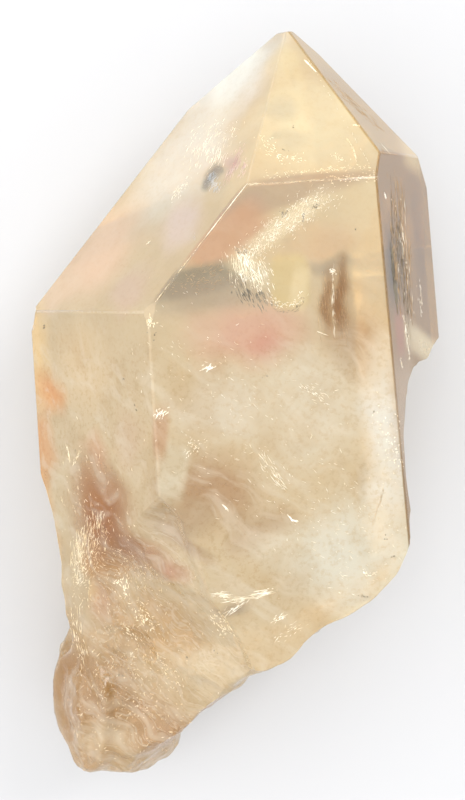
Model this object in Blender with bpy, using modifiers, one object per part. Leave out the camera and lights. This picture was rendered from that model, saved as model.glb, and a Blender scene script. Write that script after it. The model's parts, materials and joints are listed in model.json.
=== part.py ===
"""A natural quartz point, lying on the prism face opposite the one that shows.

One solid, in metres, +Z up. The crystal is built with its c axis along +Y and its tip
at the construction origin, then moved so that the origin is the bottom centre of its box.
Prism and tip faces stand at the angles of real quartz. Only their distances from the axis
differ, which is what gives a natural crystal its uneven outline.
"""
from math import acos, atan2, cos, exp, log, pi, radians, sin

import bmesh
import bpy
import numpy as np
from mathutils import Vector, noise

MM = 0.001

# Quartz: prism faces 60 degrees apart, tip faces 38.21 degrees above the prism's normals.
FACE_STEP = radians(60)
TIP_RISE = radians(38.21)

# Each prism face, by its number of 60 degree steps from the front (+Z) towards +X:
# distance from the axis through the tip, and how far it leans out towards the base.
PRISM_FACES = {
    0: (16.2 * MM, radians(0.0)),
    1: (12.9 * MM, radians(1.9)),
    2: (19.2 * MM, radians(0.8)),
    3: (24.0 * MM, radians(0.0)),
    -2: (33.7 * MM, radians(1.8)),
    -1: (26.8 * MM, radians(0.6)),
}
# How far each tip face is set out from the construction origin.
TIP_FACES = {
    0: 0.0,
    1: -0.3 * MM,
    2: 1.9 * MM,
    3: 0.0,
    -2: 5.7 * MM,
    -1: 0.0,
}
# The very tip is knocked off, a little slanted.
BLUNT_TIP = (Vector((-0.10, 1.0, 0.12)), -0.95 * MM)
EDGE_WEAR = 0.22 * MM
WEAR_SEGMENTS = 2
WEAR_FROM = radians(12)
BLOCK_SIDE = 260 * MM

# The outgrown, broken body: limits of its cross-section at heights along the axis, in mm.
# The right limit steps in where a neighbour crystal stood, then runs off to the slanted base.
RIGHT_LIMIT = (
    (6, 34), (-33, 30), (-40.2, 21.6), (-42.6, 19.0), (-47.6, 13.0), (-54, 12.5), (-62, 12.3),
    (-68.5, 12.2), (-72.8, 11.2), (-77.2, 5.8), (-80.8, 0.1), (-83.4, -3.8), (-84.2, -6.9),
    (-86.4, -11.2), (-90.0, -15.7), (-94.2, -23.0), (-97.2, -29.0),
)
LEFT_LIMIT = (
    (6, -56), (-36, -50), (-47, -40.2), (-53, -38.0), (-58, -36.6), (-64, -35.9), (-73, -35.4),
    (-82, -35.4), (-90, -34.8), (-94, -34.0), (-97.2, -33.4),
)
FRONT_LIMIT = ((6, 34), (-76, 24), (-84, 19.5), (-90, 14.5), (-94, 10.0), (-97.2, 4.0))
BACK_LIMIT = ((6, -44), (-72, -28), (-80, -25.2), (-86, -22.5), (-92, -17.0), (-97.2, -9.5))
# Limits along three directions on the left, by their steps from the front, which round it off.
LEFT_CUTS = {
    -0.5: ((6, 60), (-50, 32), (-60, 27.4), (-68, 24.8), (-76, 22.2), (-84, 19.4), (-97.2, 15.0)),
    -0.75: ((6, 60), (-50, 32), (-58, 27.4), (-66, 24.2), (-75, 22.4), (-84, 21.6), (-97.2, 19.0)),
    -2: ((6, 70), (-50, 41), (-60, 38.2), (-68, 36.8), (-78, 35.6), (-88, 34.0), (-97.2, 28.0)),
}
CORNER_SOFTNESS = 1.6 * MM
SECTION_SQUARENESS = ((6, 9.0), (-80, 9.0), (-88, 6.0), (-94, 3.4), (-97.2, 2.6))
# The body's front half narrows towards the front, about this line along Z.
NARROWING_LINE = Vector((-34.1, -26.0, 0)) * MM
NARROWING = 0.0059 / MM
AROUND = 96
TOP_RINGS = (6, -14, -32, -36)
ROUGH_FROM, ROUGH_TO, ROUGH_RINGS = -38.0, -97.2, 60
GRAIN = 1.0 * MM
SMOOTHING_ROUNDS = 14
KEPT_FACES = 0.26

# Relief of the broken surface: shell-like hollows, soft lumps and fine steps.
HOLLOW_SIZE, HOLLOW_DEPTH = 10.5 * MM, 1.5 * MM
LUMP_SIZE, LUMP_HEIGHT = 8.0 * MM, 0.9 * MM
STEP_SIZE, STEP_HEIGHT = 3.1 * MM, 0.30 * MM

# The lump at the lower left, where the crystal was rooted.
ROOT_CENTRE = Vector((-27.6, -88.6, -10.4)) * MM
ROOT_REACH = Vector((9.9, 11.4, 12.6)) * MM
ROOT_SQUARENESS = 2.4
# How far the lump may stand out past the prism faces.
ROOT_ROOM = 2.5 * MM

# Chips along the edges: a place on the edge, the ball that takes the chip out, and its bite.
CHIPS = (
    ((8.4, -14.6, 12.2), 4.5, 0.45),
    ((-21.9, -34.2, 16.1), 4.6, 0.50),
    ((-35.4, -35.0, -6.8), 4.0, 0.60),
    ((18.9, -17.4, -6.2), 4.2, 0.70),
    ((11.2, -60.0, 16.1), 4.4, 0.45),
    ((13.5, -24.0, -24.0), 5.0, 0.60),
    ((-29.4, -44.0, -24.0), 5.2, 0.65),
)
CHIP_WAVE = 1.1 * MM

QUARTZ_COLOR = (0.93, 0.80, 0.60, 1.0)
QUARTZ_ROUGHNESS = 0.08
QUARTZ_IOR = 1.544


def clear_scene():
    for old in list(bpy.data.objects):
        bpy.data.objects.remove(old)


def new_collection(name):
    made = bpy.data.collections.new(name)
    bpy.context.scene.collection.children.link(made)
    return made


def object_from(bm, name, collection):
    mesh = bpy.data.meshes.new(name)
    bm.to_mesh(mesh)
    bm.free()
    made = bpy.data.objects.new(name, mesh)
    collection.objects.link(made)
    return made


def mark_as_cutter(cutter):
    cutter.hide_render = True
    cutter.display_type = "WIRE"


def face_normal(steps, rise):
    """The outward normal of a crystal face, by its steps round the axis and its rise towards the tip."""
    turn = steps * FACE_STEP
    return Vector((sin(turn) * cos(rise), sin(rise), cos(turn) * cos(rise)))


def cut_flat(bm, normal, distance):
    """Takes off all that lies beyond a plane, and closes the cut with one flat face."""
    cut = bmesh.ops.bisect_plane(
        bm,
        geom=bm.verts[:] + bm.edges[:] + bm.faces[:],
        dist=1e-7,
        plane_co=normal * distance,
        plane_no=normal,
        clear_outer=True,
    )
    rim = [item for item in cut["geom_cut"] if isinstance(item, bmesh.types.BMEdge)]
    if rim:
        bmesh.ops.contextual_create(bm, geom=rim)


def crystal_block(collection):
    """The perfect crystal: a block cut down by six prism faces and six tip faces."""
    bm = bmesh.new()
    bmesh.ops.create_cube(bm, size=BLOCK_SIDE)
    for steps, (distance, lean) in PRISM_FACES.items():
        cut_flat(bm, face_normal(steps, lean), distance)
    for steps, distance in TIP_FACES.items():
        cut_flat(bm, face_normal(steps, TIP_RISE), distance)
    cut_flat(bm, BLUNT_TIP[0].normalized(), BLUNT_TIP[1])
    bmesh.ops.recalc_face_normals(bm, faces=bm.faces[:])
    crystal = object_from(bm, "quartz_point", collection)
    wear = crystal.modifiers.new("edge wear", "BEVEL")
    wear.width = EDGE_WEAR
    wear.segments = WEAR_SEGMENTS
    wear.limit_method = "ANGLE"
    wear.angle_limit = WEAR_FROM
    return crystal


def limit_at(limit, height):
    """A limit of the cross-section at a height, both in millimetres."""
    heights, reaches = zip(*reversed(limit))
    return float(np.interp(height, heights, reaches))


def signed_power(value, power):
    return abs(value) ** power * (1 if value >= 0 else -1)


def soft_cut(place, normal, distance):
    """Draws a point back to a plane, with a rounded corner where the plane begins to cut."""
    beyond = (place.dot(normal) - distance) / CORNER_SOFTNESS
    return place - normal * CORNER_SOFTNESS * (log(1 + exp(beyond)) if beyond < 30 else beyond)


def section_centre(height):
    middle_x = (limit_at(LEFT_LIMIT, height) + limit_at(RIGHT_LIMIT, height)) / 2
    middle_z = (limit_at(BACK_LIMIT, height) + limit_at(FRONT_LIMIT, height)) / 2
    return Vector((middle_x, height, middle_z)) * MM


def section_point(height, turn):
    """A point of the broken body's cross-section, an oval squared off between its limits."""
    left, right = limit_at(LEFT_LIMIT, height), limit_at(RIGHT_LIMIT, height)
    back, front = limit_at(BACK_LIMIT, height), limit_at(FRONT_LIMIT, height)
    power = 2 / limit_at(SECTION_SQUARENESS, height)
    x = (left + right) / 2 + (right - left) / 2 * signed_power(cos(turn), power)
    z = (back + front) / 2 + (front - back) / 2 * signed_power(sin(turn), power)
    place = Vector((x, height, z)) * MM
    for steps, limit in LEFT_CUTS.items():
        place = soft_cut(place, face_normal(steps, 0), limit_at(limit, height) * MM)
    narrowed = NARROWING * max(place.z, 0.0)
    place.x += (NARROWING_LINE.x - place.x) * narrowed
    place.y += (NARROWING_LINE.y - place.y) * narrowed
    return place


def relief(place):
    """How far the broken surface stands out at a place."""
    near = noise.voronoi(place / HOLLOW_SIZE)[0][0]
    hollow = HOLLOW_DEPTH * (min(near, 0.8) ** 2 - 0.25)
    lump = LUMP_HEIGHT * noise.noise(place / LUMP_SIZE)
    fine = place / STEP_SIZE
    step = STEP_HEIGHT * (noise.noise(fine) + 0.5 * noise.noise(fine * 2.3))
    return hollow + lump + step


def add_trunk(bm):
    """The broken body's trunk: a ball whose rings are set to the cross-sections."""
    rough = [ROUGH_FROM + (ROUGH_TO - ROUGH_FROM) * step / (ROUGH_RINGS - 1) for step in range(ROUGH_RINGS)]
    heights = list(TOP_RINGS) + rough
    ball = bmesh.ops.create_uvsphere(bm, u_segments=AROUND, v_segments=len(heights) + 1, radius=1)
    for vert in ball["verts"]:
        ring = round(acos(max(-1.0, min(1.0, vert.co.z))) / pi * (len(heights) + 1)) - 1
        if ring < 0:
            vert.co = Vector((0, heights[0] * MM, 0))
        elif ring >= len(heights):
            vert.co = section_centre(heights[-1])
        else:
            vert.co = section_point(heights[ring], atan2(vert.co.y, vert.co.x))


def add_root_lump(bm, extra):
    """The lump that overlaps the trunk's lower left, a squared-off ball."""
    ball = bmesh.ops.create_uvsphere(bm, u_segments=AROUND // 2, v_segments=AROUND // 4, radius=1)
    reach = ROOT_REACH + Vector((extra, extra, extra))
    for vert in ball["verts"]:
        spread = sum(abs(side) ** ROOT_SQUARENESS for side in vert.co) ** (1 / ROOT_SQUARENESS)
        vert.co = ROOT_CENTRE + vert.co / spread * reach


def root_room(collection):
    """A smooth body round the root lump, so that the prism faces don't cut the lump flat."""
    bm = bmesh.new()
    add_root_lump(bm, ROOT_ROOM)
    room = object_from(bm, "root_room", collection)
    mark_as_cutter(room)
    return room


def broken_body(collection):
    """The closed rough form that the perfect crystal is trimmed to: base, side scar and hollows."""
    bm = bmesh.new()
    add_trunk(bm)
    add_root_lump(bm, 0)
    bmesh.ops.recalc_face_normals(bm, faces=bm.faces[:])
    form = object_from(bm, "broken_body", collection)
    even = form.modifiers.new("even grain", "REMESH")
    even.mode = "VOXEL"
    even.voxel_size = GRAIN
    soft = form.modifiers.new("soft grain", "SMOOTH")
    soft.factor = 0.5
    soft.iterations = SMOOTHING_ROUNDS
    bake_modifiers(form)
    bm = bmesh.new()
    bm.from_mesh(form.data)
    moves = {vert: vert.normal * relief(vert.co) for vert in bm.verts if vert.co.y < ROUGH_FROM * MM}
    for vert, move in moves.items():
        vert.co += move
    bm.to_mesh(form.data)
    bm.free()
    fewer = form.modifiers.new("fewer faces", "DECIMATE")
    fewer.ratio = KEPT_FACES
    bake_modifiers(form)
    mark_as_cutter(form)
    return form


def bake_modifiers(thing):
    """Makes an object's modifiers part of its mesh."""
    bpy.context.view_layer.update()
    finished = thing.evaluated_get(bpy.context.evaluated_depsgraph_get())
    mesh = bpy.data.meshes.new_from_object(finished)
    thing.modifiers.clear()
    thing.data = mesh


def chip_balls(collection):
    """Lumpy balls just outside the edges, joined in one cutter, each taking out one shallow chip."""
    axis_middle = Vector((-8, -45, -4))
    bm = bmesh.new()
    for place, radius, bite in CHIPS:
        place = Vector(place)
        outwards = (place - axis_middle) * Vector((1, 0.35, 1))
        centre = place + outwards.normalized() * (radius - bite)
        ball = bmesh.ops.create_icosphere(bm, subdivisions=3, radius=radius * MM)
        for vert in ball["verts"]:
            wobble = 1 + 0.07 * noise.noise(vert.co / CHIP_WAVE + centre)
            vert.co = vert.co * wobble + centre * MM
    balls = object_from(bm, "chip_balls", collection)
    mark_as_cutter(balls)
    return balls


def trim(crystal, operation, cutter):
    boolean = crystal.modifiers.new(cutter.name, "BOOLEAN")
    boolean.operation = operation
    boolean.object = cutter
    boolean.solver = "EXACT"


def quartz_material():
    material = bpy.data.materials.new("clear quartz")
    material.use_nodes = True
    shader = material.node_tree.nodes["Principled BSDF"]
    shader.inputs["Base Color"].default_value = QUARTZ_COLOR
    shader.inputs["Roughness"].default_value = QUARTZ_ROUGHNESS
    shader.inputs["Metallic"].default_value = 0.0
    shader.inputs["Transmission Weight"].default_value = 1.0
    shader.inputs["IOR"].default_value = QUARTZ_IOR
    return material


def rest_on_floor(crystal):
    """Puts the origin at the bottom centre of the finished crystal."""
    mesh = crystal.data
    corners = np.empty(len(mesh.vertices) * 3)
    mesh.vertices.foreach_get("co", corners)
    corners = corners.reshape(-1, 3)
    low, high = corners.min(axis=0), corners.max(axis=0)
    shift = np.array([(low[0] + high[0]) / 2, (low[1] + high[1]) / 2, low[2]])
    mesh.vertices.foreach_set("co", (corners - shift).ravel())
    mesh.update()
    print("the tip's corner lies at", (-shift).round(5), "m")


def main():
    clear_scene()
    parts = new_collection("quartz point")
    cutters = new_collection("cutters")
    crystal = crystal_block(parts)
    trim(crystal, "UNION", root_room(cutters))
    trim(crystal, "INTERSECT", broken_body(cutters))
    trim(crystal, "DIFFERENCE", chip_balls(cutters))
    bake_modifiers(crystal)
    rest_on_floor(crystal)
    crystal.data.materials.clear()
    crystal.data.materials.append(quartz_material())


main()
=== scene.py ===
import json
import math

import bmesh
import bpy
import numpy as np
from mathutils import Matrix, Vector
from mathutils.bvhtree import BVHTree

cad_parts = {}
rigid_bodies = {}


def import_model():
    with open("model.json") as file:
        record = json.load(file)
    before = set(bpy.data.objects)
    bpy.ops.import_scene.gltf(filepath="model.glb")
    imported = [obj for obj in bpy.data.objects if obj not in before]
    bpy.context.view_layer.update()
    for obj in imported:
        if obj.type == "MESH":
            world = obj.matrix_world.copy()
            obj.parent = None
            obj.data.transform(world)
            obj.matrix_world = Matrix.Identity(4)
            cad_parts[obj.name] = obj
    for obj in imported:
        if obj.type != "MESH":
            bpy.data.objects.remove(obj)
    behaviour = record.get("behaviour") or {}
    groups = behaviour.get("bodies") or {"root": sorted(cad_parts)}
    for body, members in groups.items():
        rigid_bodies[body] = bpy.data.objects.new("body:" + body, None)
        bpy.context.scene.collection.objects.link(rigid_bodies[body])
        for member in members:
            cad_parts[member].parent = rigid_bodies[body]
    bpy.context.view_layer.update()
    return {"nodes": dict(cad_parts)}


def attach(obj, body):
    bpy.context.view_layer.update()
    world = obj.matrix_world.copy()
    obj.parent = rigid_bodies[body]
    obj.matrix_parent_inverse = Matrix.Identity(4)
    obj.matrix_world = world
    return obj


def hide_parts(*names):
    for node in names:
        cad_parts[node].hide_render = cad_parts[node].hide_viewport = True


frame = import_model()
print("frame loaded")

mm = 0.001
# The crystal's own frame: millimetres from the corner where the three front tip faces meet,
# x across, y along the crystal's axis towards the tip, z up. The CAD prints this corner.
tipCorner = np.array([0.00919, 0.05061, 0.0240])

# The flat faces, as the CAD builds them: steps of 60 degrees round the axis, lean in degrees
# (a tip face has none) and distance from the corner in mm.
tipRise = math.radians(38.21)
flatFaces = {
    "front": (0, 0.0, 16.2), "right": (1, 1.9, 12.9), "rightBack": (2, 0.8, 19.2),
    "back": (3, 0.0, 24.0), "leftBack": (-2, 1.8, 33.7), "left": (-1, 0.6, 26.8),
    "frontTip": (0, None, 0.0), "rightTip": (1, None, -0.3), "rightBackTip": (2, None, 1.9),
    "backTip": (3, None, 0.0), "leftBackTip": (-2, None, 5.7), "leftTip": (-1, None, 0.0),
}


def faceNormal(name):
    # outward normal of a flat face, from its steps round the axis and its lean or rise
    steps, lean, _ = flatFaces[name]
    turn = steps * math.radians(60)
    rise = tipRise if lean is None else math.radians(lean)
    return np.array([math.sin(turn) * math.cos(rise), math.sin(rise), math.cos(turn) * math.cos(rise)])


def place(points):
    # from the crystal's own millimetres to the frame's metres
    return np.asarray(points, float) * mm + tipCorner


def crystalPoints(points):
    return (np.asarray(points, float) - tipCorner) / mm


def onFace(name, x, y):
    # the point of a flat face above x and y
    normal = faceNormal(name)
    return np.array([x, y, (flatFaces[name][2] - normal[0] * x - normal[1] * y) / normal[2]])


def cornerOf(first, second, third):
    # where three flat faces meet
    names = (first, second, third)
    normals = np.array([faceNormal(name) for name in names])
    return np.linalg.solve(normals, np.array([flatFaces[name][2] for name in names]))


def newCollection(name):
    made = bpy.data.collections.new(name)
    bpy.context.scene.collection.children.link(made)
    return made


stageCollection = newCollection("stage")
crystalCollection = newCollection("crystal")

# The camera looks down on the lying crystal.
cameraView = {
    "fromTip": (-34.07, -25.98, 169.2),   # mm from the tip's corner
    "right": (0.9868, -0.0687, 0.1466),
    "up": (0.0860, 0.9896, -0.1154),
    "back": (-0.1371, 0.1265, 0.9824),
    "lens": 58.95,
    "sensor": 36,
    "nearest": 0.01,                      # metres
}


def addCamera():
    camera = bpy.data.cameras.new("camera")
    camera.lens = cameraView["lens"]
    camera.sensor_width = cameraView["sensor"]
    camera.clip_start = cameraView["nearest"]
    holder = bpy.data.objects.new("camera", camera)
    turn = Matrix([cameraView["right"], cameraView["up"], cameraView["back"]]).transposed().to_4x4()
    holder.matrix_world = Matrix.Translation(Vector(place(cameraView["fromTip"]))) @ turn
    stageCollection.objects.link(holder)
    bpy.context.scene.camera = holder


addCamera()
print("camera set")

# A pale sheet under a sky that is brightest at the upper left, with a softbox at the upper right.
stageLook = {
    "floorGap": 0.15,             # mm under the crystal, so that two surfaces don't coincide
    "floorHalf": 1.5,             # metres from its middle to its sides
    "floorColor": (0.575, 0.578, 0.590),
    "floorRoughness": 0.9,
    "skyColor": (1.0, 1.0, 1.0),
    "skyStrength": 0.95,
    "sideStrength": 1.35,         # what the bright side adds
    "side": (-0.80, 0.40, 0.45),
    "sideFrom": -0.1,             # from where to where the sky brightens, as the cosine to that side
    "sideTo": 0.95,
    "softbox": {"from": (840, 840, 1120), "size": 680, "power": 8.8},
    "lamp": {"from": (-510, 480, 1560), "size": 180, "power": 1.08},
}


def addFloor():
    half = stageLook["floorHalf"]
    z = -stageLook["floorGap"] * mm
    corners = [(-half, -half, z), (half, -half, z), (half, half, z), (-half, half, z)]
    mesh = bpy.data.meshes.new("floor")
    mesh.from_pydata(corners, [], [(0, 1, 2, 3)])
    paper = bpy.data.materials.new("paper floor")
    paper.use_nodes = True
    shader = paper.node_tree.nodes["Principled BSDF"]
    shader.inputs["Base Color"].default_value = (*stageLook["floorColor"], 1)
    shader.inputs["Roughness"].default_value = stageLook["floorRoughness"]
    shader.inputs["Specular IOR Level"].default_value = 0.0
    mesh.materials.append(paper)
    floor = bpy.data.objects.new("floor", mesh)
    stageCollection.objects.link(floor)


def addLight(name, look):
    lamp = bpy.data.lights.new(name, "AREA")
    lamp.size = look["size"] * mm
    lamp.energy = look["power"]
    holder = bpy.data.objects.new(name, lamp)
    start = Vector(look["from"]) * mm
    holder.location = start
    holder.rotation_euler = start.to_track_quat("Z", "Y").to_euler()
    stageCollection.objects.link(holder)


def addWorld():
    # the sky brightens smoothly towards one side
    world = bpy.data.worlds.new("studio")
    world.use_nodes = True
    tree = world.node_tree
    back = tree.nodes["Background"]
    back.inputs["Color"].default_value = (*stageLook["skyColor"], 1)
    sight = tree.nodes.new("ShaderNodeTexCoord").outputs["Generated"]
    facing = vectorNode(tree, "DOT_PRODUCT", sight, stageLook["side"])
    low, high = stageLook["skyStrength"], stageLook["skyStrength"] + stageLook["sideStrength"]
    strength = rampNode(tree, facing, stageLook["sideFrom"], stageLook["sideTo"], low, high)
    tree.links.new(strength, back.inputs["Strength"])
    bpy.context.scene.world = world
    bpy.context.scene.view_settings.view_transform = "Standard"


def newGroup(name, inputs, outputs):
    # inputs and outputs are (name, kind, value) and (name, kind)
    group = bpy.data.node_groups.new(name, "ShaderNodeTree")
    for label, kind, value in inputs:
        socket = group.interface.new_socket(label, in_out="INPUT", socket_type="NodeSocket" + kind)
        if value is not None:
            socket.default_value = value
    for label, kind in outputs:
        group.interface.new_socket(label, in_out="OUTPUT", socket_type="NodeSocket" + kind)
    return group, group.nodes.new("NodeGroupInput"), group.nodes.new("NodeGroupOutput")


def feed(tree, socket, value):
    # a number or a colour goes on the socket itself, anything else is a link
    if isinstance(value, (int, float)):
        socket.default_value = value
    elif isinstance(value, (tuple, list)):
        socket.default_value = tuple(value) + (1,) * (socket.type == "RGBA" and len(value) == 3)
    elif value is not None:
        tree.links.new(value, socket)


def mathNode(tree, operation, first, second=None, third=None):
    node = tree.nodes.new("ShaderNodeMath")
    node.operation = operation
    for socket, value in zip(node.inputs, (first, second, third)):
        feed(tree, socket, value)
    return node.outputs[0]


def vectorNode(tree, operation, first, second=None, third=None, scale=None):
    node = tree.nodes.new("ShaderNodeVectorMath")
    node.operation = operation
    for socket, value in zip(node.inputs, (first, second, third)):
        feed(tree, socket, value)
    if scale is not None:
        feed(tree, node.inputs["Scale"], scale)
    return node.outputs["Value" if operation in ("LENGTH", "DISTANCE", "DOT_PRODUCT") else "Vector"]


def noiseNode(tree, vector, scale, detail, roughness=0.5):
    node = tree.nodes.new("ShaderNodeTexNoise")
    node.inputs["Scale"].default_value = scale
    node.inputs["Detail"].default_value = detail
    node.inputs["Roughness"].default_value = roughness
    tree.links.new(vector, node.inputs["Vector"])
    return node


def rampNode(tree, value, low, high, fromLow=0.0, toHigh=1.0):
    # a smooth rise of value from low to high, given as a number from fromLow to toHigh
    node = tree.nodes.new("ShaderNodeMapRange")
    node.interpolation_type = "SMOOTHSTEP"
    for label, number in (("From Min", low), ("From Max", high), ("To Min", fromLow), ("To Max", toHigh)):
        feed(tree, node.inputs[label], number)
    tree.links.new(value, node.inputs["Value"])
    return node.outputs["Result"]


def mixColors(tree, share, first, second, blend="MIX"):
    node = tree.nodes.new("ShaderNodeMix")
    node.data_type = "RGBA"
    node.blend_type = blend
    for socket, value in ((node.inputs["Factor"], share), (node.inputs[6], first), (node.inputs[7], second)):
        feed(tree, socket, value)
    return node.outputs[2]


addFloor()
addLight("softbox", stageLook["softbox"])
addLight("lamp", stageLook["lamp"])
addWorld()
print("stage set")


def turnedAboutZ(tree, place, angle, centre=None):
    node = tree.nodes.new("ShaderNodeVectorRotate")
    node.rotation_type = "Z_AXIS"
    for label, value in (("Vector", place), ("Center", centre), ("Angle", angle)):
        feed(tree, node.inputs[label], value)
    return node.outputs["Vector"]


def inShares(tree, place, centre, reach):
    # how far a place is from a centre in shares of the reach: place / reach - centre / reach, where
    # the last part and 1 / reach are fixed numbers that the renderer works out only once
    shares = vectorNode(tree, "DIVIDE", (1, 1, 1), reach)
    start = vectorNode(tree, "MULTIPLY", vectorNode(tree, "SCALE", shares, scale=-1), centre)
    return vectorNode(tree, "MULTIPLY_ADD", place, shares, start)


# How the patterns' places are bent, how patches fade, and what the flat faces' planes tell.
patterns = {
    "bendScale": 0.16,
    "bendPush": 3.0,              # mm for a bend of 1
    "patchRim": (1.15, 0.25),     # shares of the reach between which an oval patch comes in
    "broken": (0.14, 0.45),       # mm off the planes: where the broken skin begins to show, and fully
    "tint": (-0.30, -0.08),       # mm over a face's plane: where its painted shade begins, and is full
}


def crystalFrameGroup():
    # object coordinates turned into the crystal's own millimetres, and the same bent by a soft noise
    group, taken, given = newGroup(
        "crystal frame", [("Place", "Vector", None), ("Bend", "Float", 2.0)],
        [("Millimetres", "Vector"), ("Bent", "Vector")])
    moved = vectorNode(group, "SUBTRACT", taken.outputs["Place"], tuple(tipCorner))
    straight = vectorNode(group, "SCALE", moved, scale=1 / mm)
    waves = noiseNode(group, straight, patterns["bendScale"], detail=1.0)
    centred = vectorNode(group, "SUBTRACT", waves.outputs["Color"], (0.5, 0.5, 0.5))
    push = mathNode(group, "MULTIPLY", taken.outputs["Bend"], patterns["bendPush"])
    pushed = vectorNode(group, "SCALE", centred, scale=push)
    group.links.new(straight, given.inputs["Millimetres"])
    group.links.new(vectorNode(group, "ADD", straight, pushed), given.inputs["Bent"])
    return group


def softPatchGroup():
    # how far a place lies inside an oval patch: 1 in the middle, 0 outside, with a soft rim
    group, taken, given = newGroup(
        "soft patch",
        [("Place", "Vector", None), ("Centre", "Vector", None), ("Reach", "Vector", (1, 1, 1)),
         ("Strength", "Float", 1.0)],
        [("Mask", "Float")])
    away = inShares(group, *(taken.outputs[label] for label in ("Place", "Centre", "Reach")))
    far = vectorNode(group, "LENGTH", away)
    fall = rampNode(group, far, *patterns["patchRim"], toHigh=taken.outputs["Strength"])
    group.links.new(fall, given.inputs["Mask"])
    return group


def softBandGroup():
    # the same for a patch turned about z and squared off: the fourth root of the sum of the fourth
    # powers of its shares of the reach, falling from 1 to 0 across a rim of a given softness
    group, taken, given = newGroup(
        "soft band",
        [("Place", "Vector", None), ("Centre", "Vector", None), ("Reach", "Vector", (1, 1, 1)),
         ("Turn", "Float", 0.0), ("Rim", "Float", 0.3), ("Strength", "Float", 1.0)],
        [("Mask", "Float")])
    centre = taken.outputs["Centre"]
    turned = turnedAboutZ(group, taken.outputs["Place"], taken.outputs["Turn"], centre)
    shared = inShares(group, turned, centre, taken.outputs["Reach"])
    squared = vectorNode(group, "MULTIPLY", shared, shared)
    squareness = mathNode(group, "POWER", vectorNode(group, "DOT_PRODUCT", squared, squared), 0.25)
    outer = mathNode(group, "ADD", 1.0, taken.outputs["Rim"])
    inner = mathNode(group, "SUBTRACT", 1.0, taken.outputs["Rim"])
    fall = rampNode(group, squareness, outer, inner, toHigh=taken.outputs["Strength"])
    group.links.new(fall, given.inputs["Mask"])
    return group


def flatFacesGroup():
    # Each flat face's plane gives how far a place lies outside it, negative inside. On the surface
    # the largest of these is 0, and the second largest tells how near the next face's edge is.
    # Where even the largest is well below 0, the surface is broken.
    group, taken, given = newGroup(
        "flat faces", [("Millimetres", "Vector", None), ("Width", "Float", 0.4)],
        [("Edge", "Float"), ("Broken", "Float")])
    nearest = second = -1000.0
    for name, (_, _, distance) in flatFaces.items():
        along = vectorNode(group, "DOT_PRODUCT", taken.outputs["Millimetres"], tuple(faceNormal(name)))
        outside = mathNode(group, "SUBTRACT", along, distance)
        second = mathNode(group, "MAXIMUM", second, mathNode(group, "MINIMUM", nearest, outside))
        nearest = mathNode(group, "MAXIMUM", nearest, outside)
    low = mathNode(group, "MULTIPLY", taken.outputs["Width"], -1.0)
    group.links.new(rampNode(group, second, low, 0.0), given.inputs["Edge"])
    off = mathNode(group, "ABSOLUTE", nearest)
    group.links.new(rampNode(group, off, *patterns["broken"]), given.inputs["Broken"])
    return group


crystalFrame = crystalFrameGroup()
softPatch = softPatchGroup()
softBand = softBandGroup()
flatFacesMask = flatFacesGroup()


def addGroup(tree, group, **values):
    node = tree.nodes.new("ShaderNodeGroup")
    node.node_tree = group
    for label, value in values.items():
        feed(tree, node.inputs[label], value)
    return node


# The body of the crystal: clear towards the tip, milky below, honey coloured all through.
quartz = {
    "color": (0.76, 0.64, 0.41),
    "ior": 1.544,
    "transmission": 0.60,
    "absorbColor": (1.0, 0.90, 0.70),
    "absorbDensity": 30.0,
    "coat": 0.12,
    "coatRoughness": 0.03,
    "clearRoughness": 0.05,
    "hazyRoughness": 0.22,        # on the left tip face, in an oval of this centre and reach
    "haze": ((-16, -17, 1), (16, 18, 13)),
    "milkyRoughness": 0.27,
    "brokenRoughness": 0.14,
    "milkFrom": -33.0,            # along the axis, where the clear top begins to cloud
    "milkTo": -45.0,
    # the edges' pale colour: chips of wear with a painted highlight
    "edgeChipAndHighlightColor": (1.0, 0.95, 0.82),
    "edgeWidth": 0.14,
    "veilColor": (1.0, 0.94, 0.77),
    "shadeColor": (0.72, 0.59, 0.40),
    "bend": 1.6,
    "swirlScale": 0.17,
    "mottleScale": 1.5,
    "featherScale": 0.5,
    "featherStretch": 0.2,
    "featherTurn": 40,            # degrees, the slant of the feathery streaks
    # noise from, noise to, strength in the clear part, strength in the milk
    "swirlShade": (0.44, 0.66, 0.14, 0.34),
    "mottleShade": (0.46, 0.70, 0.14, 0.38),
    "featherVeil": (0.46, 0.70, 0.08, 0.34),
    # pale chips and painted highlight along the edges
    "edgeChipsAndHighlight": (0.40, 0.56, 0.45, 0.06),
    "vein": (0.46, 0.035, 0.3),   # the noise value that it follows, its width in noise, strength
    "patchiness": (0.62, 0.38, 0.6, 1.0),   # noise from and to, share of the roughness from and to
}

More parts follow.
